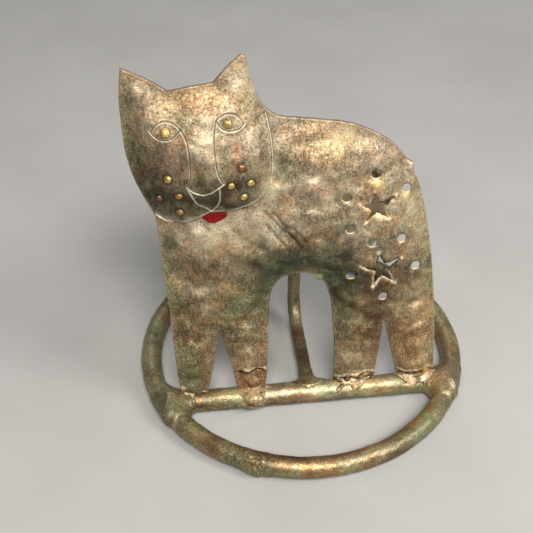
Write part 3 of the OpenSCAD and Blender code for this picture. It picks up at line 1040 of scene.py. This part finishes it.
def rods():
    turn = np.linspace(0, 2 * math.pi, 640, endpoint=False)
    ring = np.stack([RING_R * np.cos(turn), RING_R * np.sin(turn), np.full_like(turn, ROD_R)], axis=1)
    piece = rod("base_ring_forged", ring, ROD_R, (0, 0, 1), True, ROD, "base_ring", "patinated_rod", worn)
    ring_masks(piece)
    across = np.linspace(-BAR_END, BAR_END, 220)
    bar = np.stack([across, np.full_like(across, BAR_Y), np.full_like(across, BAR_R)], axis=1)
    piece = rod("crossbar_forged", bar, BAR_R, (0, 0, 1), False, ROD, "crossbar", "patinated_rod", worn)
    points = points_of(piece)
    torn = 0.7 + 0.9 * ripple(points, 4, 62)
    # Paler along the top of the bar: painted highlight.
    top = ramp(points[:, 2], 3, 6)
    set_masks(
        piece,
        pale=0.3 * torn * top * (1 - ramp(np.abs(points[:, 0] - 2), 22, 34)),
        moss=0.9 * torn * np.maximum(ramp(-points[:, 0], 14, 28), ramp(-points[:, 2], -4, -1.5)),
        rust=0.7 * torn * swell(points[:, :2], (-10, BAR_Y), (12, 8), 1),
    )
    stem = ("candle_stem_bent", stem_path(), STEM_R, (1, 0, 0), False)
    piece = rod(*stem, ROD, "candle_stem", "patinated_rod", worn, 32)
    points = points_of(piece)
    # Paler up the stem's rise, and darker near its top with painted shade from the dish above.
    pale = 0.3 * ramp(points[:, 2], 8, 20) * (0.8 + ripple(points, 5, 63))
    set_masks(piece, pale=pale, soot=0.4 * ramp(points[:, 2], 34, 50))


def arc(turn, middle, half):
    """1 at an angle round the ring, fading to nothing past half of an arc, in degrees."""
    away = (turn - middle + 180) % 360 - 180
    return fade(away, half)


def ring_masks(piece):
    """Long stains round the ring: green on the left, right and underside, copper on the inner front."""
    points = points_of(piece)
    turn = np.degrees(np.arctan2(points[:, 1], points[:, 0]))
    outward = (np.hypot(points[:, 0], points[:, 1]) - RING_R) / ROD_R
    up = (points[:, 2] - ROD_R) / ROD_R
    torn = 0.7 + 0.9 * ripple(points, 5, 61)
    inner_top = fade(outward + 0.45, 0.35) * ramp(up, 0, 0.6)
    inside_face = ramp(-outward, -0.3, 0.5)
    soot = 0.45 * arc(turn, -128, 9) * ramp(up, -1, 0.6) + 0.6 * inner_top * arc(turn, -95, 22)
    rust = 0.9 * inner_top * arc(turn, -80, 40) + inside_face * arc(turn, -45, 30)
    rust += 0.9 * arc(turn, -130, 13)
    moss = 1.1 * arc(turn, -172, 34) + 0.7 * arc(turn, -105, 14) * ramp(-up, -0.4, 0.6)
    moss += 0.9 * arc(turn, 10, 22)
    set_masks(piece, soot=soot * torn, rust=rust * torn, moss=moss * torn, pale=0.5 * filed(points) * torn)


def stem_path():
    level = BAR_R
    start, corner = BAR_Y + 0.6 * BAR_R, STEM_Y - STEM_BEND
    run = [(0, y, level) for y in np.linspace(start, corner, 50, endpoint=False)]
    bend = [
        (0, corner + STEM_BEND * math.sin(a), level + STEM_BEND * (1 - math.cos(a)))
        for a in np.linspace(0, math.pi / 2, 24, endpoint=False)
    ]
    rise = [(0, STEM_Y, z) for z in np.linspace(level + STEM_BEND, STEM_TOP, 70)]
    return run + bend + rise


# ---- Weld metal and braze: skins over the shape that two joined bodies would make together
def outside_ring(points):
    return np.hypot(np.hypot(points[..., 0], points[..., 1]) - RING_R, points[..., 2] - ROD_R) - ROD_R


def outside_bar(points):
    round_it = np.hypot(points[..., 1] - BAR_Y, points[..., 2] - BAR_R) - BAR_R
    return np.maximum(round_it, np.abs(points[..., 0]) - BAR_END)


def outside_sheet(points):
    """Distance outside the flat foot of the sheet."""
    out = (points - SHEET_ORIGIN) @ OUT_OF_SHEET
    return np.abs(out + SHEET_T / 2) - SHEET_T / 2


def outside_ball(points, middle, radii):
    return (np.linalg.norm((points - np.array(middle)) / np.array(radii), axis=-1) - 1) * min(radii)


def joined(a, b, reach):
    """Two distances run together, with a fillet where both are short."""
    overlap = np.maximum(reach - np.abs(a - b), 0) / reach
    return np.minimum(a, b) - overlap * overlap * reach / 4


RAY_STEPS = 81


def cast(name, middle, reach, outside, material, node, rough=0.25, sunk=0.12, stretch=(1, 1, 1)):
    """A skin round a joined shape: each point lies where a ray from the middle first leaves it."""
    rays, faces = ball(6)
    rays = rays * np.array(stretch)
    middle = np.array(middle, float)
    steps = np.linspace(0, reach, RAY_STEPS)
    field = outside(middle + rays[:, None] * steps[None, :, None]) + sunk
    left = field > 0
    leaves = left.any(axis=1)
    first = np.where(leaves, left.argmax(axis=1), len(steps) - 1)
    rows = np.arange(len(rays))
    before, after = field[rows, first - 1], field[rows, first]
    share = np.where(leaves, before / (before - after - 1e-9), 1)
    length = steps[first - 1] + np.clip(share, 0, 1) * (steps[1] - steps[0])
    verts = middle + rays * length[:, None]
    seed = sum(map(ord, name)) % 97
    uneven = rough * (ripple(verts, 2.8, seed) + 0.55 * ripple(verts, 1.2, seed + 1))
    verts = middle + rays * (length + uneven)[:, None]
    verts[:, 2] = np.maximum(verts[:, 2], 0.05)
    return new_piece(name, verts, faces, material, [node])


SEAM_TURN = -113


def welds():
    for side, node in ((-1, "bar_weld_left"), (1, "bar_weld_right")):
        def at_joint(points):
            away = np.linalg.norm(points - np.array([side * 51, BAR_Y - 1, BAR_R]), axis=-1)
            return joined(outside_bar(points), outside_ring(points), 7) + 1.6 * ramp(away, 8.5, 12)

        middle = (side * 50.5, BAR_Y, BAR_R)
        ring_masks(cast(node + "_fillet", middle, 12, at_joint, WELD, node, 0.18, sunk=0))

    def at_seam(points):
        turn = np.degrees(np.arctan2(points[..., 1], points[..., 0]))
        lump = fade(turn - SEAM_TURN, 4.2) * ramp(ROD_R + 1.5 - points[..., 2], -1, 4)
        outwards = ramp(np.hypot(points[..., 0], points[..., 1]) - RING_R, -1.5, 2)
        return outside_ring(points) - lump * outwards + 0.15

    seam = math.radians(SEAM_TURN)
    middle = (RING_R * math.cos(seam), RING_R * math.sin(seam), ROD_R)
    ring_masks(cast("ring_seam_ridge", middle, 8, at_seam, WELD, "ring_seam_weld", 0.4, 0.1))

    def at_stem_foot(points):
        stem = np.hypot(points[..., 0], points[..., 2] - BAR_R) - STEM_R
        return joined(outside_bar(points), stem, 5)

    cast("stem_weld_fillet", (0, BAR_Y + BAR_R, BAR_R), 7, at_stem_foot, WELD, "stem_weld")

    def at_stem_top(points):
        stem = np.hypot(points[..., 0], points[..., 1] - STEM_Y) - STEM_R
        pan = STEM_TOP - points[..., 2]
        return np.maximum(joined(stem, pan, 3.5), points[..., 2] - STEM_TOP - 0.6)

    under_dish = (0, STEM_Y, STEM_TOP - 1.2)
    cast("dish_weld_fillet", under_dish, 6, at_stem_top, WELD, "dish_weld", 0.15)


# Each foot's left and right end, and the fillet, roughness, depth and soot of its braze
FEET = [
    (-46.5, -37, 2.2, 0.15, 1.5, 0), (-26, -16, 3.0, 0.35, 7.5, 0.5), (9, 23.5, 3.0, 0.4, 2.4, 0.9),
    (32.5, 46, 3.4, 0.45, 3.4, 0.6),
]


def brazes():
    for i, (left, right, fillet, rough, depth, soot) in enumerate(FEET):
        def at_foot(points):
            """The fillet between bar and sheet, kept to the foot with a ragged edge all round."""
            beyond = np.maximum(left - points[..., 0], points[..., 0] - right)
            beyond = beyond + 1.2 * np.sin(1.9 * points[..., 2] + 2.3 * i) + 0.6
            below = bar_high[2] - depth - points[..., 2] + 0.9 * np.sin(0.9 * points[..., 0] + i)
            above = points[..., 2] - bar_high[2] - 1.6
            metal = joined(outside_bar(points), outside_sheet(points), fillet)
            if i == 1:
                drip = outside_ball(points, (-20.5, BAR_Y - 2.9, 5.2), (4.6, 3.3, 3.7))
                metal = joined(metal, drip, 1.6)
            metal = metal + 1.2 * (ramp(beyond, -2, 1) + ramp(below, -2, 1) + ramp(above, -1, 1))
            return np.maximum(metal, beyond - 1)

        middle = ((left + right) / 2, BAR_Y + 0.2, bar_high[2] - 0.6)
        name = f"foot_braze_{i + 1}"
        stretch = (((right - left) / 2 + 0.4) / 4.2, 1, 1)
        finish = BRAZE if i else ROD
        piece = cast(name + "_lump", middle, 7, at_foot, finish, name, rough, -0.05, stretch)
        points = points_of(piece)
        out = (points - SHEET_ORIGIN) @ OUT_OF_SHEET
        ragged = 0.5 + 0.9 * ripple(points, 1.8, 71 + i)
        set_masks(piece, soot=soot * ramp(1.3 - np.abs(out + 0.2), 0, 0.8) * ragged)
        if finish is ROD:
            set_masks(piece, moss=0.9 * (0.8 + ripple(points, 3, 75)))


# ---- The dish
def candle_dish():
    """A spun pan: floor, rounded corner, side and rolled lip, drawn once and turned about the stem."""
    base, wall, lip = dish_low[2], 1.2, 1.0
    side_r, lip_z, lip_at = DISH_R - 0.7, dish_high[2] - lip, DISH_R - lip
    inner = [
        (0, base + wall), (side_r - 3.4, base + wall), (side_r - 2.2, base + wall + 0.4),
        (side_r - 1.5, base + wall + 1.2), (side_r - 1.2, lip_z - 0.3),
    ]
    roll = [
        (lip_at + lip * math.cos(a), lip_z + lip * math.sin(a))
        for a in np.linspace(math.radians(200), math.radians(-60), 12)
    ]
    outer = [(side_r, lip_z - 1.2), (side_r - 0.3, base + 1.2), (side_r - 0.9, base + 0.3),
             (side_r - 1.8, base), (0, base)]
    profile = np.array([*inner, *roll, *outer])
    profile = np.concatenate([
        np.linspace(a, b, max(2, int(np.linalg.norm(b - a) / 1.2) + 1), endpoint=False)
        for a, b in zip(profile, profile[1:])
    ] + [profile[-1:]])
    sides = 180
    turn = np.linspace(0, 2 * math.pi, sides, endpoint=False)
    verts = [(0, STEM_Y, profile[0][1])]
    for r, z in profile[1:-1]:
        verts += [(r * math.cos(a), STEM_Y + r * math.sin(a), z) for a in turn]
    verts.append((0, STEM_Y, profile[-1][1]))
    verts = np.array(verts)
    verts[1:-1, 2] += 0.07 * ripple(verts[1:-1], 9, 81)
    rings = len(profile) - 2
    faces = [(0, 1 + k, 1 + (k + 1) % sides) for k in range(sides)]
    for i in range(rings - 1):
        for k in range(sides):
            a, b = 1 + i * sides + k, 1 + i * sides + (k + 1) % sides
            faces.append((a, a + sides, b + sides, b))
    last, start = len(verts) - 1, 1 + (rings - 1) * sides
    faces += [(last, start + (k + 1) % sides, start + k) for k in range(sides)]
    new_piece("candle_dish_spun", verts, faces, DISH, ["candle_dish"])


# ---- Floor and light
def add_floor():
    bpy.ops.mesh.primitive_plane_add(size=4, location=(0, 0, 0))
    floor = bpy.context.object
    floor.name = "floor"
    graph = Graph("pale_floor")
    cloud = graph.noise(60, 3, 0.5)
    color = graph.mix(graph.between(cloud, 0.3, 0.7), (0.29, 0.287, 0.279), (0.315, 0.312, 0.304))
    floor.data.materials.append(graph.finish(color, 0.75, 0.0))


LIT_POINT = Vector((0, 0, 0.05))


def add_light(name, at, size, power, color):
    data = bpy.data.lights.new(name, "AREA")
    data.shape = "DISK"
    data.size = size
    data.energy = power
    data.color = color
    light = bpy.data.objects.new(name, data)
    light.location = at
    light.rotation_euler = (LIT_POINT - Vector(at)).to_track_quat("-Z", "Y").to_euler()
    bpy.context.scene.collection.objects.link(light)


def add_world():
    world = bpy.data.worlds.new("studio")
    world.use_nodes = True
    background = world.node_tree.nodes["Background"]
    background.inputs["Color"].default_value = (1.0, 0.98, 0.95, 1)
    background.inputs["Strength"].default_value = 0.16
    bpy.context.scene.world = world


cat_sheet()
tongue()
pins()
rods()
welds()
brazes()
candle_dish()
add_floor()
add_light("key", (-0.02, -0.58, 0.78), 0.42, 13, (1.0, 0.97, 0.92))
add_light("side", (0.62, -0.35, 0.66), 0.4, 7, (1.0, 0.98, 0.96))
add_light("back", (-0.1, 0.42, 0.85), 0.5, 1.6, (1.0, 0.99, 0.97))
add_world()
bpy.context.scene.view_settings.view_transform = "Standard"
